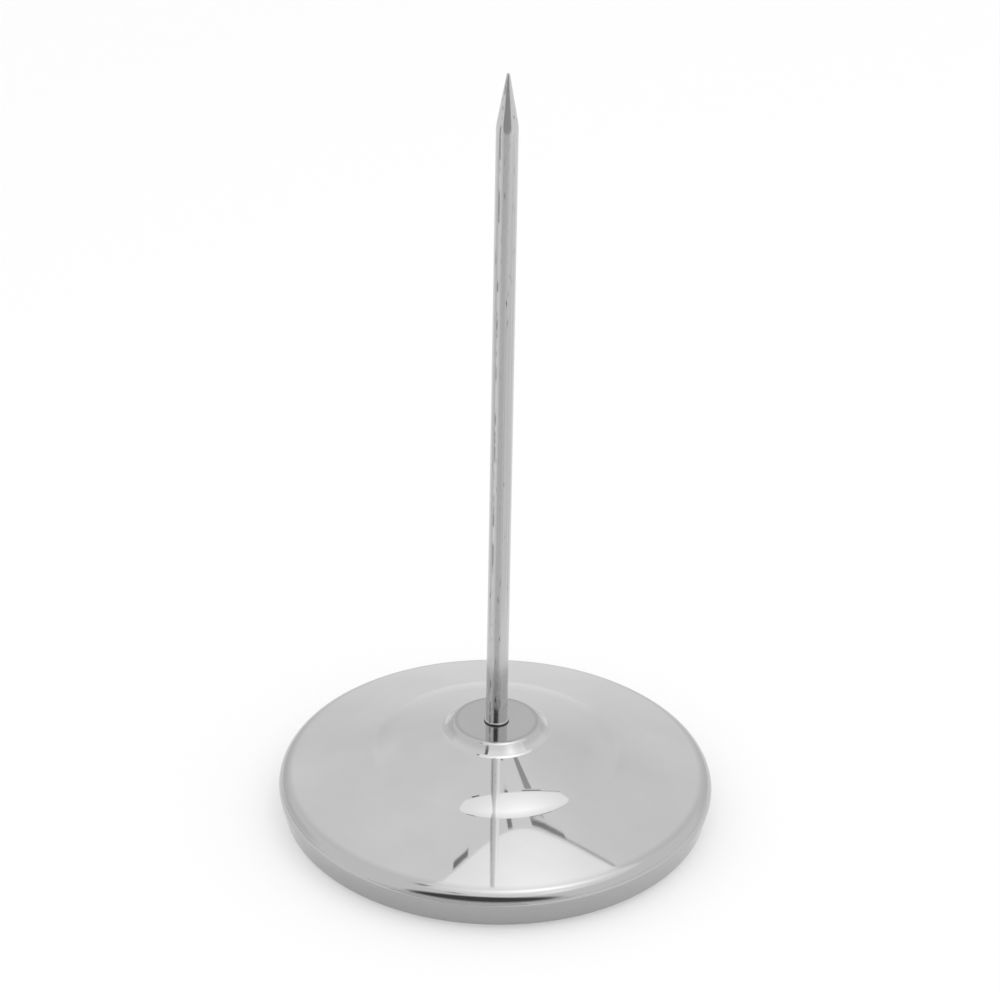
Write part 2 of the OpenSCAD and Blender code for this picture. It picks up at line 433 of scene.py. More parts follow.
def per_mm(size):
    """Scale of a pattern whose features are this many millimetres wide."""
    return 1 / (size * MM)


def polished_stainless(finishes, rim_r, shoulder_r):
    """Stainless sheet, pressed and buffed to a mirror: sharp reflections that waver a little where the
    sheet isn't quite true, a faint haze in rings from the buffing wheel, and a rougher shine on the bends
    at the rim and round the boss, whose darker colour there is painted shade that dims the lamp's
    reflections."""
    rim_from = rim_r - 3.2 * MM
    rim_to = rim_r - 1.7 * MM
    shoulder_near = 0.5 * MM
    shoulder_far = 1.5 * MM
    grazed_rough = 0.08
    material, tree, place = new_material("polished_stainless_sheet")
    ripple = add(tree, "ShaderNodeTexNoise", {"Vector": place, "Scale": per_mm(9), "Detail": 1.0})
    waver = add(tree, "ShaderNodeBump", {"Height": ripple, "Distance": 0.008 * MM})
    haze = add(tree, "ShaderNodeTexNoise", {"Vector": place, "Scale": per_mm(16), "Detail": 4.0})
    rough = add(tree, "ShaderNodeMapRange", {"Value": haze, "From Min": NOISE_LOW, "From Max": NOISE_HIGH,
                                             "To Min": 0.02, "To Max": 0.045})

    # The wheel's rings are too fine to show, so they are drawn 0.7 mm wide
    flat = add(tree, "ShaderNodeMapping", {"Vector": place, "Scale": (1, 1, 0)})
    radius = add(tree, "ShaderNodeVectorMath", {0: flat}, operation="LENGTH")
    rings = add(tree, "ShaderNodeTexNoise", {"W": radius, "Scale": per_mm(0.7), "Detail": 3.0},
                noise_dimensions="1D")
    buff = add(tree, "ShaderNodeBump", {"Height": rings, "Distance": 0.0002 * MM, "Normal": waver})

    # The bends at the rim and round the boss: rougher, and darker with painted shade that dims the lamp's
    # reflections there
    rim = add(tree, "ShaderNodeMapRange", {"Value": radius, "From Min": rim_from, "From Max": rim_to},
              interpolation_type="SMOOTHSTEP")
    past = add(tree, "ShaderNodeMath", {0: radius, 1: shoulder_r}, operation="SUBTRACT")
    away = add(tree, "ShaderNodeMath", {0: past}, operation="ABSOLUTE")
    shoulder = add(tree, "ShaderNodeMapRange", {"Value": away, "From Min": shoulder_near,
                                                "From Max": shoulder_far, "To Min": 1.0, "To Max": 0.0},
                   interpolation_type="SMOOTHSTEP")
    rough_shaded_bends = add(tree, "ShaderNodeMath", {0: rim, 1: shoulder}, operation="MAXIMUM")
    dull = add(tree, "ShaderNodeMath", {0: rough_shaded_bends, 1: grazed_rough, 2: rough}, operation="MULTIPLY_ADD")

    mirror = add(tree, "ShaderNodeMix", {"Factor": haze, "A": [*finishes.sheet_dark, 1],
                                         "B": [*finishes.sheet_light, 1]}, data_type="RGBA")
    tone = add(tree, "ShaderNodeMix", {"Factor": rough_shaded_bends, "A": mirror, "B": [*finishes.sheet_bend_shade, 1]},
               data_type="RGBA")
    shader = add(tree, "ShaderNodeBsdfPrincipled", {
        "Base Color": tone, "Specular Tint": [*finishes.sheet_glance, 1], "Metallic": 1.0,
        "Roughness": dull, "Normal": buff})
    add(tree, "ShaderNodeOutputMaterial", {"Surface": shader})
    return material


def drawn_stainless(finishes, collar_low, collar_high):
    """Stainless rod, cold drawn: bright, with fine lines along its length, a few pits, one faint broken mark
    that the die left down its side, and painted shade that darkens the collar from its middle down to the
    boss."""
    mark_a = math.radians(37)
    mark_near = 0.1 * MM
    mark_far = 0.28 * MM
    material, tree, place = new_material("drawn_stainless_rod")

    # Lines from the die are hundredths of a millimetre wide; to show, they are drawn 0.3 mm wide
    along = add(tree, "ShaderNodeMapping", {"Vector": place,
                                            "Scale": (per_mm(0.3), per_mm(0.3), per_mm(60))})
    lines = add(tree, "ShaderNodeTexNoise", {"Vector": along, "Scale": 1.0, "Detail": 3.0})
    groove = add(tree, "ShaderNodeBump", {"Height": lines, "Distance": 0.0025 * MM})
    rough = add(tree, "ShaderNodeMapRange", {"Value": lines, "From Min": NOISE_LOW, "From Max": NOISE_HIGH,
                                             "To Min": 0.14, "To Max": 0.2})
    pit_place = add(tree, "ShaderNodeMapping", {"Vector": place,
                                                "Scale": (per_mm(0.4), per_mm(0.4), per_mm(3))})
    pits = add(tree, "ShaderNodeTexNoise", {"Vector": pit_place, "Scale": 1.0, "Detail": 1.0})
    pit = add(tree, "ShaderNodeMapRange", {"Value": pits, "From Min": 0.7, "From Max": 0.78})

    # The die's mark is a plane through the axis, broken up along the rod
    across = add(tree, "ShaderNodeVectorMath", {0: place, 1: (math.cos(mark_a), -math.sin(mark_a), 0)},
                 operation="DOT_PRODUCT")
    away = add(tree, "ShaderNodeMath", {0: across}, operation="ABSOLUTE")
    mark = add(tree, "ShaderNodeMapRange", {"Value": away, "From Min": mark_near, "From Max": mark_far,
                                            "To Min": 1.0, "To Max": 0.0})
    breaks = add(tree, "ShaderNodeTexNoise", {"Vector": place, "Scale": per_mm(4), "Detail": 2.0})
    broken = add(tree, "ShaderNodeMapRange", {"Value": breaks, "From Min": 0.48, "From Max": 0.58,
                                              "To Max": 0.6})
    scored = add(tree, "ShaderNodeMath", {0: mark, 1: broken}, operation="MULTIPLY")
    worn = add(tree, "ShaderNodeMath", {0: pit, 1: scored}, operation="MAXIMUM")

    # Painted shade: the collar is darkened from its middle down to the boss, where it meets the cover
    height = add(tree, "ShaderNodeSeparateXYZ", {"Vector": place}).outputs["Z"]
    collar_shade = add(tree, "ShaderNodeMapRange", {"Value": height, "From Min": (collar_low + collar_high) / 2,
                                            "From Max": collar_high, "To Min": 0.8, "To Max": 0.0})
    wear_and_shade = add(tree, "ShaderNodeMath", {0: worn, 1: collar_shade}, operation="MAXIMUM")

    bright = add(tree, "ShaderNodeMix", {"Factor": lines, "A": [*finishes.rod_dark, 1],
                                         "B": [*finishes.rod_light, 1]}, data_type="RGBA")
    tone = add(tree, "ShaderNodeMix", {"Factor": wear_and_shade, "A": bright, "B": [*finishes.rod_wear_and_shade, 1]},
               data_type="RGBA")
    shader = add(tree, "ShaderNodeBsdfPrincipled", {
        "Base Color": tone, "Metallic": 1.0, "Roughness": rough, "Normal": groove})
    add(tree, "ShaderNodeOutputMaterial", {"Surface": shader})
    return material


def primed_cast_iron(finishes):
    """Grey iron from a sand mould under a thin dark primer: matt, with the sand's grain showing through."""
    material, tree, place = new_material("primed_cast_iron")

    # Moulding sand is about 0.3 mm; to show, its grain is drawn three times as coarse
    sand = add(tree, "ShaderNodeTexNoise", {"Vector": place, "Scale": per_mm(0.9), "Detail": 4.0})
    grain = add(tree, "ShaderNodeBump", {"Height": sand, "Distance": 0.12 * MM})
    patch = add(tree, "ShaderNodeTexNoise", {"Vector": place, "Scale": per_mm(8), "Detail": 2.0})
    rough = add(tree, "ShaderNodeMapRange", {"Value": patch, "To Min": 0.55, "To Max": 0.8})
    tone = add(tree, "ShaderNodeMix", {"Factor": patch, "A": [*finishes.primer_dark, 1],
                                       "B": [*finishes.primer_light, 1]}, data_type="RGBA")
    shader = add(tree, "ShaderNodeBsdfPrincipled", {"Base Color": tone, "Roughness": rough, "Normal": grain})
    add(tree, "ShaderNodeOutputMaterial", {"Surface": shader})
    return material


def zinc_plate(finishes):
    """Steel hardware with bright zinc plate: pale bluish metal with a soft cloudy shine."""
    material, tree, place = new_material("zinc_plated_steel")
    cloud = add(tree, "ShaderNodeTexNoise", {"Vector": place, "Scale": per_mm(1.5), "Detail": 3.0})
    rough = add(tree, "ShaderNodeMapRange", {"Value": cloud, "To Min": 0.22, "To Max": 0.42})

    # Marks from the plating barrel are finer than they are drawn here, 0.3 mm wide, so that they show
    knocks = add(tree, "ShaderNodeTexNoise", {"Vector": place, "Scale": per_mm(0.3), "Detail": 2.0})
    marks = add(tree, "ShaderNodeBump", {"Height": knocks, "Distance": 0.01 * MM})
    tone = add(tree, "ShaderNodeMix", {"Factor": cloud, "A": [*finishes.zinc_dark, 1],
                                       "B": [*finishes.zinc_light, 1]}, data_type="RGBA")
    shader = add(tree, "ShaderNodeBsdfPrincipled", {
        "Base Color": tone, "Metallic": 1.0, "Roughness": rough, "Normal": marks})
    add(tree, "ShaderNodeOutputMaterial", {"Surface": shader})
    return material


def moulded_rubber(finishes):
    """Black rubber from a spark-eroded mould: matt, with a fine even grain and a little bloom."""
    material, tree, place = new_material("moulded_rubber")

    # The mould's grain is about 0.1 mm; to show, it is drawn 0.35 mm wide
    grain = add(tree, "ShaderNodeTexNoise", {"Vector": place, "Scale": per_mm(0.35), "Detail": 2.0})
    skin = add(tree, "ShaderNodeBump", {"Height": grain, "Distance": 0.03 * MM})
    bloom = add(tree, "ShaderNodeTexNoise", {"Vector": place, "Scale": per_mm(11), "Detail": 3.0})
    rough = add(tree, "ShaderNodeMapRange", {"Value": bloom, "To Min": 0.7, "To Max": 0.9})
    tone = add(tree, "ShaderNodeMix", {"Factor": bloom, "A": [*finishes.rubber_dark, 1],
                                       "B": [*finishes.rubber_light, 1]}, data_type="RGBA")
    shader = add(tree, "ShaderNodeBsdfPrincipled", {"Base Color": tone, "Roughness": rough, "Normal": skin})
    add(tree, "ShaderNodeOutputMaterial", {"Surface": shader})
    return material


# Pieces

class BILLSPIKE_OT_base_cover(bpy.types.Operator):
    """Draw the cover's outer skin from the hole to the hem, turn it and give it the sheet's thickness"""
    bl_idname = "bill_spike.base_cover"
    bl_label = "Base cover"

    def execute(self, context):
        cover = context.scene.bill_spike.cover
        base_r = cover.base_d / 2
        boss_z = COVER_HIGH.z
        hem_z = COVER_LOW.z
        lean = cover.rim_lean
        rim_a = QUARTER - cover.rim_slope
        flank_a = QUARTER - cover.flank_slope
        step_a = QUARTER - cover.step_slope
        boss_a = QUARTER - cover.boss_slope

        # Centres of the bends, from the rim inwards
        edge_c = point(base_r - cover.edge_r, hem_z + cover.rim_h)
        narrowing = cover.edge_r - cover.curl_r
        wall_l = (cover.rim_h - cover.curl_r - narrowing * math.sin(lean)) / math.cos(lean)
        curl_c = edge_c + narrowing * unit(-lean) - wall_l * unit(QUARTER - lean)
        crown_out = edge_c + cover.edge_r * unit(rim_a)
        crown_in_r = cover.step_r + cover.step_hollow_r * (math.cos(step_a) - math.cos(flank_a))
        crown_r = (crown_out.x - crown_in_r) / (math.cos(rim_a) - math.cos(flank_a))
        crown_c = crown_out - crown_r * unit(rim_a)
        hollow_c = crown_c + (crown_r + cover.step_hollow_r) * unit(flank_a)
        round_c = hollow_c - (cover.step_hollow_r + cover.step_round_r) * unit(step_a)
        flank_in = round_c + cover.step_round_r * unit(flank_a)

        # The bend round the boss's foot touches the boss's straight side and the inner flank
        shoulder_c = point(cover.boss_flat_r, boss_z - cover.shoulder_r)
        foot_over = shoulder_c + (cover.shoulder_r + cover.foot_r) * unit(boss_a)
        side_l = (foot_over - flank_in).dot(unit(flank_a)) - cover.foot_r
        side_l /= math.sin(cover.boss_slope - cover.flank_slope)
        foot_c = foot_over + side_l * unit(-cover.boss_slope)

        section = Section("base_cover", point(cover.hole_r, boss_z))
        section.line(point(cover.boss_flat_r, boss_z), steps=6)
        section.bend(shoulder_c, boss_a - QUARTER, steps=16)
        section.line(foot_c - cover.foot_r * unit(boss_a), steps=4)
        section.bend(foot_c, flank_a - boss_a, steps=12)
        section.line(flank_in, steps=6)
        section.bend(round_c, step_a - flank_a, steps=16)
        section.bend(hollow_c, flank_a - step_a, steps=16)
        section.bend(crown_c, rim_a - flank_a, steps=18)
        section.bend(edge_c, -rim_a - lean, steps=26)
        section.line(curl_c + cover.curl_r * unit(-lean), steps=3)
        section.bend(curl_c, lean - QUARTER, steps=18)
        section.line(point(curl_c.x - cover.hem_w, hem_z), steps=2)
        piece = section.turn()
        modify(piece, "SOLIDIFY", thickness=cover.sheet_t, offset=-1, use_even_offset=True,
               use_quality_normals=True)
        round_edges(piece, cover.burr_r, over_angle=50)
        bend_r = cover.boss_flat_r + cover.shoulder_r / 2
        steel = polished_stainless(context.scene.bill_spike.finishes, base_r, bend_r)
        finish(piece, "base_cover", steel, smooth_under=40)
        return {"FINISHED"}


class BILLSPIKE_OT_spike(bpy.types.Operator):
    """Turn the rod with its point and collar, and cut the thread on its stud"""
    bl_idname = "bill_spike.spike"
    bl_label = "Spike"

    def execute(self, context):
        spike = context.scene.bill_spike.spike
        boss_z = COVER_HIGH.z
        top_z = SPIKE_HIGH.z
        end_z = SPIKE_LOW.z
        rod_r = spike.rod_d / 2
        tip_r = spike.tip_d / 2
        lip_r = spike.collar_h / 2
        stud_r = spike.stud_d / 2
        collar_top = boss_z + spike.collar_h
        thread_top = end_z + spike.thread_l
        taper = math.atan((rod_r - tip_r) / (spike.point_l - spike.tip_round_r))

        # Where the round between the rod and the point starts and ends
        round_half = spike.point_round_r * math.tan(taper / 2)
        rod_top = point(rod_r, top_z - spike.point_l - round_half)
        tip_c = point(tip_r - spike.tip_round_r, top_z - spike.tip_round_r)

        # The plain part of the stud ends in a cone, whose narrow end is inside the thread
        core_r = spike.thread_d / 2 - 2 * spike.thread_depth
        section = Section("spike", point(0, thread_top))
        section.line(point(core_r, thread_top))
        section.line(point(stud_r, thread_top + stud_r - core_r))
        section.line(point(stud_r, boss_z))
        section.line(point(spike.collar_d / 2 - lip_r, boss_z))
        section.bend(point(spike.collar_d / 2 - lip_r, boss_z + lip_r), HALF_TURN, steps=12)
        section.line(point(rod_r, collar_top))
        section.line(rod_top, steps=24)
        section.bend(rod_top - point(spike.point_round_r, 0), taper, steps=10)
        section.line(tip_c + spike.tip_round_r * unit(taper), steps=8)
        section.bend(tip_c, QUARTER - taper, steps=6)
        section.line(point(0, top_z))
        section.line(point(0, thread_top))
        piece = section.turn(SMALL_TURN_STEPS)
        thread = threaded_rod("thread", spike.thread_d / 2, end_z - OVERCUT, thread_top + 2 * OVERCUT, spike)
        blank = turned("stud_blank", [
            point(0, end_z),
            point(stud_r - spike.stud_chamfer, end_z),
            point(stud_r, end_z + spike.stud_chamfer),
            point(stud_r, thread_top + OVERCUT),
            point(0, thread_top + OVERCUT),
        ], SMALL_TURN_STEPS)
        combine(thread, blank, "INTERSECT")
        combine(piece, thread, "UNION")
        steel = drawn_stainless(context.scene.bill_spike.finishes, boss_z, collar_top)
        finish(piece, "spike", steel, smooth_under=35)
        return {"FINISHED"}


class BILLSPIKE_OT_counterweight(bpy.types.Operator):
    """Turn the cast weight with its hub, bore and recess, and round its corners"""
    bl_idname = "bill_spike.counterweight"
    bl_label = "Counterweight"

    def execute(self, context):
        weight = context.scene.bill_spike.weight
        bore_r = context.scene.bill_spike.cover.hole_r
        low = WEIGHT_LOW.z
        high = WEIGHT_HIGH.z
        roof = low + weight.recess_h
        plate = low + weight.plate_h
        edge_r = WEIGHT_HIGH.x - (weight.plate_h - weight.chamfer_h) * math.tan(weight.edge_lean)
        piece = turned("counterweight", [
            point(weight.recess_r, low),
            point(edge_r - weight.chamfer_w, low),
            point(edge_r, low + weight.chamfer_h),
            point(WEIGHT_HIGH.x, plate),
            point(weight.hub_foot_r, plate),
            point(weight.hub_top_r, high),
            point(bore_r, high),
            point(bore_r, roof),
            point(weight.recess_r, roof),
        ])
        round_edges(piece, weight.cast_r, over_angle=30)
        iron = primed_cast_iron(context.scene.bill_spike.finishes)
        finish(piece, "counterweight", iron, smooth_under=40)
        return {"FINISHED"}


class BILLSPIKE_OT_washers(bpy.types.Operator):
    """Turn the flat washer and the lock washer, and cut the lock washer's slanting slit"""
    bl_idname = "bill_spike.washers"
    bl_label = "Washers"

    def execute(self, context):
        fasteners = context.scene.bill_spike.fasteners
        bore_r = context.scene.bill_spike.cover.hole_r
        zinc = zinc_plate(context.scene.bill_spike.finishes)
        for node, low, high in (("flat_washer", WASHER_LOW, WASHER_HIGH),
                                ("lock_washer", LOCK_LOW, LOCK_HIGH)):
            piece = turned(node, [
                point(bore_r, low.z),
                point(high.x, low.z),
                point(high.x, high.z),
                point(bore_r, high.z),
            ], SMALL_TURN_STEPS)
            if node == "lock_washer":
                slit_l = high.x + OVERCUT
                slit_h = 2 * (high.z - low.z + OVERCUT)
                slit = new_mesh("slit", bpy.ops.mesh.primitive_cube_add, size=1,
                                location=(slit_l / 2, 0, (low.z + high.z) / 2),
                                rotation=(fasteners.slit_lean, 0, 0),
                                scale=(slit_l, fasteners.slit_w, slit_h))
                combine(piece, slit, "DIFFERENCE")
            round_edges(piece, fasteners.washer_edge_r, over_angle=40)
            finish(piece, node, zinc, smooth_under=40)
        return {"FINISHED"}


class BILLSPIKE_OT_hex_nut(bpy.types.Operator):
    """Start from a hexagon bar, turn off its corners, countersink it and cut its thread"""
    bl_idname = "bill_spike.hex_nut"
    bl_label = "Hex nut"

    def execute(self, context):
        fasteners = context.scene.bill_spike.fasteners
        spike = context.scene.bill_spike.spike
        low = NUT_LOW.z
        high = NUT_HIGH.z
        flat_r = NUT_HIGH.y
        corner_r = NUT_HIGH.x
        piece = new_mesh("hex_nut", bpy.ops.mesh.primitive_cylinder_add, vertices=NUT_SIDES,
                         radius=corner_r, depth=high - low, location=(0, 0, (low + high) / 2),
                         rotation=(0, 0, QUARTER))

        wide_r = corner_r + OVERCUT
        drop = (wide_r - flat_r) * math.tan(fasteners.corner_angle)
        corners = turned("corner_cones", [
            point(0, low),
            point(flat_r, low),
            point(wide_r, low + drop),
            point(wide_r, high - drop),
            point(flat_r, high),
            point(0, high),
        ], SMALL_TURN_STEPS)
        combine(piece, corners, "INTERSECT")

        # The bore is a little wider than the tap's roots, so that the two cut cleanly
        crest_r = spike.thread_d / 2 + fasteners.clearance
        minor_r = crest_r - spike.thread_depth + fasteners.clearance
        flare_r = crest_r + fasteners.countersink + OVERCUT
        flare_h = flare_r - minor_r
        bore = turned("countersunk_bore", [
            point(0, low - OVERCUT),
            point(flare_r, low - OVERCUT),
            point(minor_r, low - OVERCUT + flare_h),
            point(minor_r, high + OVERCUT - flare_h),
            point(flare_r, high + OVERCUT),
            point(0, high + OVERCUT),
        ], SMALL_TURN_STEPS)
        combine(piece, bore, "DIFFERENCE")
        combine(piece, threaded_rod("tap", crest_r, low - OVERCUT, high + OVERCUT, spike), "DIFFERENCE")
        finish(piece, "hex_nut", zinc_plate(context.scene.bill_spike.finishes), smooth_under=30)
        return {"FINISHED"}


class BILLSPIKE_OT_foot_ring(bpy.types.Operator):
    """Draw the rubber ring's section with its grip grooves, and turn it"""
    bl_idname = "bill_spike.foot_ring"
    bl_label = "Foot ring"

    def execute(self, context):
        weight = context.scene.bill_spike.weight
        low = RING_LOW.z
        high = RING_HIGH.z
        hole_r = weight.ring_hole_r
        outer_r = RING_HIGH.x
        corner_r = weight.ring_corner_r
        spacing = (outer_r - hole_r) / (weight.grooves + 1)
        section = Section("foot_ring", point(hole_r, high))
        section.line(point(hole_r, low + corner_r))
        section.bend(point(hole_r + corner_r, low + corner_r), QUARTER, steps=6)
        for i in range(weight.grooves):
            groove = point(hole_r + spacing * (i + 1), low)
            section.line(groove - point(weight.groove_r, 0), steps=2)
            section.bend(groove, -HALF_TURN, steps=10)
        section.line(point(outer_r - corner_r, low), steps=2)
        section.bend(point(outer_r - corner_r, low + corner_r), QUARTER, steps=6)
        section.line(point(outer_r, high))
        section.line(point(hole_r, high))
        piece = section.turn()
        finish(piece, "foot_ring", moulded_rubber(context.scene.bill_spike.finishes), smooth_under=40)
        return {"FINISHED"}


# Studio

# Bright spots of the lamp: metres to the right of the object and in front of it, radius, brightness
LAMP_SPOTS = (
    (0.19, 0.057, 0.51, 2.44),
    (0.46, 0.55, 0.36, 1.75),
)

# Dark fittings on the lamp: edge, counted leftwards from the back, then in metres from and to along that
# edge, and from and to away from the lamp, and the brightness
LAMP_FITTINGS = {
    "lamp_arm": (0, 0.064, 0.102, 0.024, 0.4, 0.45),
    "lamp_bracket": (0, 0.044, 0.150, 0.004, 0.015, 0.25),
    "lamp_clip_left": (0, -0.225, -0.184, 0.004, 0.016, 0.25),
    "lamp_clip_right": (0, 0.150, 0.270, 0.002, 0.008, 0.55),
    "lamp_clip_middle": (0, -0.05, -0.032, 0.002, 0.024, 0.3),
    "lamp_frame_back_left": (1, -0.27, -0.03, -0.055, 0, 0.25),
    "lamp_frame_left": (2, -0.18, -0.03, -0.085, 0, 0.25),
}

# Grey stretches of the table: degrees to the right of the front, half of the angle in degrees, from and to
# in metres, and the share of the floor that the grey hides
TABLE_STRETCHES = {
    "table_front": (-12, 24, 0.056, 0.34, 0.4),
    "table_front_soft": (-10, 40, 0.056, 0.34, 0.3),
    "table_right_soft": (50, 34, 0.08, 0.3, 0.25),
    "table_right": (102, 13, 0.08, 0.28, 0.25),
    "table_left": (-96, 18, 0.07, 0.3, 0.35),
}

# Dimmer places of the tent: degrees to the right of the back, degrees up, spread in degrees, brightness left
TENT_DIM_PLACES = (
    (0, 34, 25, 0.775),
    (-35, 5, 26, 0.83),
    (35, 5, 26, 0.87),
    (-30, 45, 22, 0.96),
    (32, 43, 24, 0.93),
    (-64, 12, 20, 0.85),
)


def glow(name, strength):
    """A surface that gives off an even grey light."""
    material, tree, _ = new_material(name)
    light = add(tree, "ShaderNodeEmission", {"Strength": strength})
    add(tree, "ShaderNodeOutputMaterial", {"Surface": light})
    return material


def floor_paper(studio):
    """Matt pale paper, lit a little from below; a view from below passes it, so that the underside shows."""
    material, tree, _ = new_material("pale_floor_paper")
    paper = add(tree, "ShaderNodeBsdfDiffuse", {
        "Color": [c * (1 - studio.floor_glow) for c in studio.floor_colour] + [1]})
    light = add(tree, "ShaderNodeEmission", {"Color": [*studio.floor_colour, 1],
                                             "Strength": studio.floor_glow})
    lit = add(tree, "ShaderNodeAddShader", {0: paper, 1: light})
    clear = add(tree, "ShaderNodeBsdfTransparent")
    below = add(tree, "ShaderNodeNewGeometry").outputs["Backfacing"]
    sheet = add(tree, "ShaderNodeMixShader", {0: below, 1: lit, 2: clear})
    add(tree, "ShaderNodeOutputMaterial", {"Surface": sheet})
    return material


def thin_grey(tree, studio, cover):
    """Matt grey, thinned so that the pale floor shows through it."""
    paint = add(tree, "ShaderNodeBsdfDiffuse", {"Color": [*studio.table_colour, 1]})
    clear = add(tree, "ShaderNodeBsdfTransparent")
    thinned = add(tree, "ShaderNodeMixShader", {0: cover, 1: clear, 2: paint})
    add(tree, "ShaderNodeOutputMaterial", {"Surface": thinned})


def table_paint(studio, cover):
    """An even thin grey."""
    material, tree, _ = new_material("grey_table_paint")
    thin_grey(tree, studio, cover)
    return material


def shaded_paper(studio):
    """Painted shade close round the base, seen only in mirrors: grey, darkest in front of it and gone at its
    back.
    """
    material, tree, place = new_material("shaded_floor_paper")
    front = (math.sin(studio.shade_turn), -math.cos(studio.shade_turn), 0)
    ahead = add(tree, "ShaderNodeVectorMath", {0: place, 1: front}, operation="DOT_PRODUCT")
    cover = add(tree, "ShaderNodeMapRange", {
        "Value": ahead, "From Min": studio.shade_r * studio.shade_start, "From Max": studio.shade_r,
        "To Max": studio.shade}, interpolation_type="SMOOTHSTEP")
    thin_grey(tree, studio, cover)
    return material


def dark_cloth(studio):
    """Near black in the middle of the wall, softly lighter towards its edge and grey at its foot."""
    material, tree, place = new_material("dark_backdrop_cloth")
    half_w = studio.room_far * math.tan(studio.room_half)
    centred = add(tree, "ShaderNodeMapping", {
        "Vector": place, "Scale": (1 / half_w, 0, 1 / studio.room_h),
        "Location": (-studio.room_side / half_w, 0, 0)})
    fall = add(tree, "ShaderNodeTexGradient", {"Vector": centred}, gradient_type="SPHERICAL").outputs["Fac"]
    height = add(tree, "ShaderNodeSeparateXYZ", {"Vector": place}).outputs["Z"]
    middle = add(tree, "ShaderNodeMapRange", {
        "Value": height, "From Min": studio.counter_h / 2, "From Max": studio.counter_h,
        "To Min": studio.counter, "To Max": studio.room})
    strength = add(tree, "ShaderNodeMapRange", {"Value": fall, "From Max": studio.room_soft,
                                                "To Min": studio.tent, "To Max": middle})
    light = add(tree, "ShaderNodeEmission", {"Strength": strength})
    add(tree, "ShaderNodeOutputMaterial", {"Surface": light})
    return material


def lamp_fabric(studio):
    """Diffuser of the lamp, brightest in its spots."""
    material, tree, place = new_material("lamp_diffuser")
    strength = studio.lamp_edge
    for right, front, radius, brightness in LAMP_SPOTS:
        size = 1 / radius
        centred = add(tree, "ShaderNodeMapping", {
            "Vector": place, "Scale": (size, size, size),
            "Location": (-right * size, front * size, -studio.lamp_h * size)})
        fall = add(tree, "ShaderNodeTexGradient", {"Vector": centred}, gradient_type="QUADRATIC_SPHERE")
        spot = add(tree, "ShaderNodeMapRange", {"Value": fall.outputs["Fac"], "To Min": studio.lamp_edge,
                                                "To Max": brightness})
        strength = add(tree, "ShaderNodeMath", {0: spot, 1: strength}, operation="MAXIMUM")
    light = add(tree, "ShaderNodeEmission", {"Strength": strength})
    add(tree, "ShaderNodeOutputMaterial", {"Surface": light})
    return material


def mirror_card(card, material):
    """Paint a card that only mirrors see: it shades nothing and the camera doesn't see it."""
    card.data.materials.append(material)
    card.visible_camera = False
    card.visible_diffuse = False
    card.visible_shadow = False
    card.visible_transmission = False


def wedge_card(name, near, far, half, turn, material, level=FLOOR_GAP):
    """A level card in front of the object that widens away from it."""
    near_half = near * math.tan(half)
    card = new_mesh(name, bpy.ops.mesh.primitive_plane_add, size=2 * near_half,
                    location=(0, -near - near_half, level))
    bpy.ops.object.mode_set(mode="EDIT")
    select_vertices(card, lambda place: place.y < -near - near_half)
    bpy.ops.transform.translate(value=(0, near + 2 * near_half - far, 0))
    bpy.ops.transform.resize(value=(far / near, 1, 1), center_override=(0, -far, level))
    bpy.ops.object.mode_set(mode="OBJECT")
    card.rotation_euler.z = turn
    bpy.ops.object.transform_apply(location=False, rotation=True, scale=False)
    mirror_card(card, material)


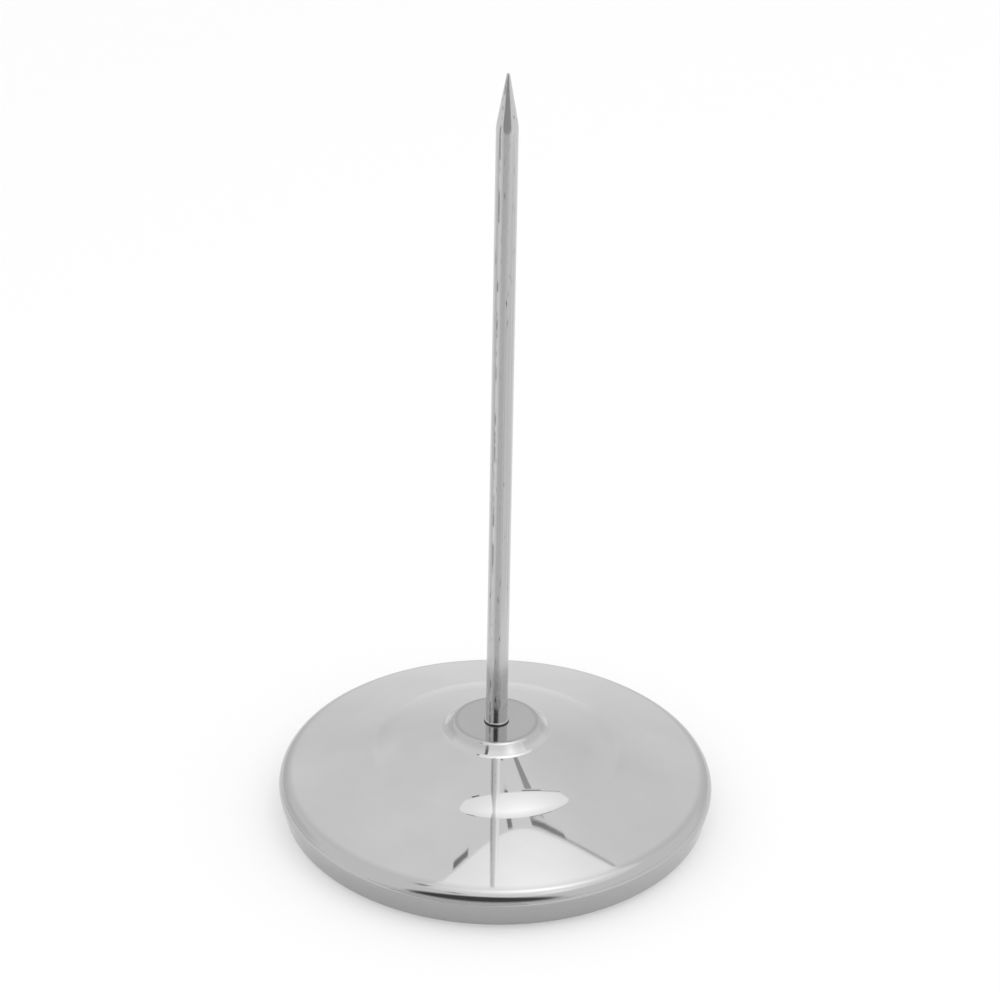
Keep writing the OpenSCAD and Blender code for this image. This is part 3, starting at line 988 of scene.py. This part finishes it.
class BILLSPIKE_OT_studio(bpy.types.Operator):
    """Lay the floor, hang the lamp, darken the room round the camera and aim the camera"""
    bl_idname = "bill_spike.studio"
    bl_label = "Studio"

    def execute(self, context):
        studio = context.scene.bill_spike.studio
        self.lay_floor(studio)
        self.hang_lamp(studio)
        self.fit_lamp(studio)
        self.set_table(studio)
        self.darken_room(studio)
        self.raise_tent(context.scene, studio)
        self.aim_camera(context.scene, studio)
        return {"FINISHED"}

    def lay_floor(self, studio):
        floor = new_mesh("floor", bpy.ops.mesh.primitive_circle_add, vertices=CARD_STEPS,
                         radius=studio.floor_d / 2, fill_type="NGON", location=(0, 0, -FLOOR_GAP))
        floor.data.materials.append(floor_paper(studio))

    def hang_lamp(self, studio):
        lamp = new_mesh("lamp", bpy.ops.mesh.primitive_circle_add, vertices=LAMP_SIDES,
                        radius=studio.lamp_r, fill_type="NGON", rotation=(0, 0, studio.lamp_turn),
                        location=(studio.lamp_x, -studio.lamp_y, studio.lamp_h))
        lamp.data.materials.append(lamp_fabric(studio))
        lamp.visible_camera = False

    def fit_lamp(self, studio):
        """The lamp's arm, bracket, clips and frame, dark shapes that the polished cover mirrors."""
        middle = Vector((studio.lamp_x, -studio.lamp_y, studio.lamp_h - FITTING_DROP))
        edge = studio.lamp_r * math.cos(LAMP_SIDE_ANGLE / 2)
        for name, (side, start, end, near, far, brightness) in LAMP_FITTINGS.items():
            outward = QUARTER + LAMP_SIDE_ANGLE / 2 + studio.lamp_turn + side * LAMP_SIDE_ANGLE
            along = Vector((math.sin(outward), -math.cos(outward), 0)) * (start + end) / 2
            away = Vector((math.cos(outward), math.sin(outward), 0)) * (edge + (near + far) / 2)
            fitting = new_mesh(name, bpy.ops.mesh.primitive_plane_add, size=1,
                               location=middle + along + away, rotation=(0, 0, outward - QUARTER),
                               scale=(end - start, far - near, 1))
            mirror_card(fitting, glow(name, brightness))

    def set_table(self, studio):
        """The shade round the base, and the grey stretches of the table, one just above the other."""
        for i, (name, (turn, half, near, far, cover)) in enumerate(TABLE_STRETCHES.items()):
            wedge_card(name, near, far, math.radians(half), math.radians(turn), table_paint(studio, cover),
                       level=FLOOR_GAP * (i + 2))
        shade = new_mesh("shade_round_the_base", bpy.ops.mesh.primitive_circle_add, vertices=CARD_STEPS,
                         radius=studio.shade_r, fill_type="NGON", location=(0, 0, FLOOR_GAP))
        mirror_card(shade, shaded_paper(studio))

    def darken_room(self, studio):
        """The dim floor beyond the table, and the round-topped dark wall behind the camera."""
        wedge_card("dim_floor", studio.room_near, studio.room_far, studio.room_half, 0,
                   glow("dim_floor", studio.counter))
        wall = new_mesh("unlit_wall", bpy.ops.mesh.primitive_circle_add, vertices=CARD_STEPS, radius=1,
                        fill_type="NGON", location=(studio.room_side, -studio.room_far, 0),
                        rotation=(QUARTER, 0, 0),
                        scale=(studio.room_far * math.tan(studio.room_half), studio.room_h, 1))
        mirror_card(wall, dark_cloth(studio))

    def raise_tent(self, scene, studio):
        """White all round, a little dimmer in a few places behind the object."""
        world = bpy.data.worlds.new("white_tent")
        scene.world = world
        world.use_nodes = True
        tree = world.node_tree
        tree.nodes.clear()
        direction = add(tree, "ShaderNodeTexCoord").outputs["Generated"]
        strength = 1.0
        for right, up, spread, brightness_left in TENT_DIM_PLACES:
            turn = math.radians(right)
            level = math.cos(math.radians(up))
            middle = (level * math.sin(turn), level * math.cos(turn), math.sin(math.radians(up)))
            facing = add(tree, "ShaderNodeVectorMath", {0: direction, 1: middle}, operation="DOT_PRODUCT")
            dim = add(tree, "ShaderNodeMapRange", {
                "Value": facing, "From Min": math.cos(math.radians(spread)), "To Min": 1.0,
                "To Max": brightness_left}, interpolation_type="SMOOTHSTEP")
            strength = add(tree, "ShaderNodeMath", {0: dim, 1: strength}, operation="MULTIPLY")
        white = (studio.tent, studio.tent, studio.tent, 1)
        background = add(tree, "ShaderNodeBackground", {"Color": white, "Strength": strength})
        add(tree, "ShaderNodeOutputWorld", {"Surface": background})

    def aim_camera(self, scene, studio):
        """Place the camera by its elevation, and point it so that the base lands on its row and column."""
        middle = PICTURE / 2
        focal = studio.lens / SENSOR * PICTURE
        pitch = studio.elevation - math.atan((studio.base_row - middle) / focal)
        yaw = math.atan((studio.base_column - middle) / focal)
        target = Vector((0, 0, COVER_LOW.z))
        back = Vector((0, -math.cos(studio.elevation), math.sin(studio.elevation)))
        aim = Euler((QUARTER - pitch, 0, yaw)).to_matrix() @ Matrix.Rotation(studio.roll, 3, "Z")
        bpy.ops.object.camera_add(location=target + studio.distance * back, rotation=aim.to_euler())
        camera = bpy.context.object
        camera.data.lens = studio.lens
        camera.data.sensor_width = SENSOR
        scene.camera = camera
        scene.view_settings.view_transform = "Standard"


class BILLSPIKE_PT_pieces(bpy.types.Panel):
    """Lists the pieces and the studio"""
    bl_idname = "BILLSPIKE_PT_pieces"
    bl_label = "Bill Spike"
    bl_space_type = "VIEW_3D"
    bl_region_type = "UI"
    bl_category = "Bill Spike"

    def draw(self, context):
        for operator in OPERATORS:
            self.layout.operator(operator.bl_idname)


OPERATORS = (
    BILLSPIKE_OT_base_cover,
    BILLSPIKE_OT_spike,
    BILLSPIKE_OT_counterweight,
    BILLSPIKE_OT_washers,
    BILLSPIKE_OT_hex_nut,
    BILLSPIKE_OT_foot_ring,
    BILLSPIKE_OT_studio,
)
CLASSES = (CoverSettings, SpikeSettings, WeightSettings, FastenerSettings, FinishSettings, StudioSettings,
           BillSpikeSettings, *OPERATORS, BILLSPIKE_PT_pieces)


def register():
    for cls in CLASSES:
        bpy.utils.register_class(cls)
    bpy.types.Scene.bill_spike = PointerProperty(type=BillSpikeSettings)


def unregister():
    del bpy.types.Scene.bill_spike
    for cls in reversed(CLASSES):
        bpy.utils.unregister_class(cls)


def main():
    register()
    bpy.ops.bill_spike.base_cover()
    bpy.ops.bill_spike.spike()
    bpy.ops.bill_spike.counterweight()
    bpy.ops.bill_spike.washers()
    bpy.ops.bill_spike.hex_nut()
    bpy.ops.bill_spike.foot_ring()
    bpy.ops.bill_spike.studio()


if __name__ == "__main__":
    main()
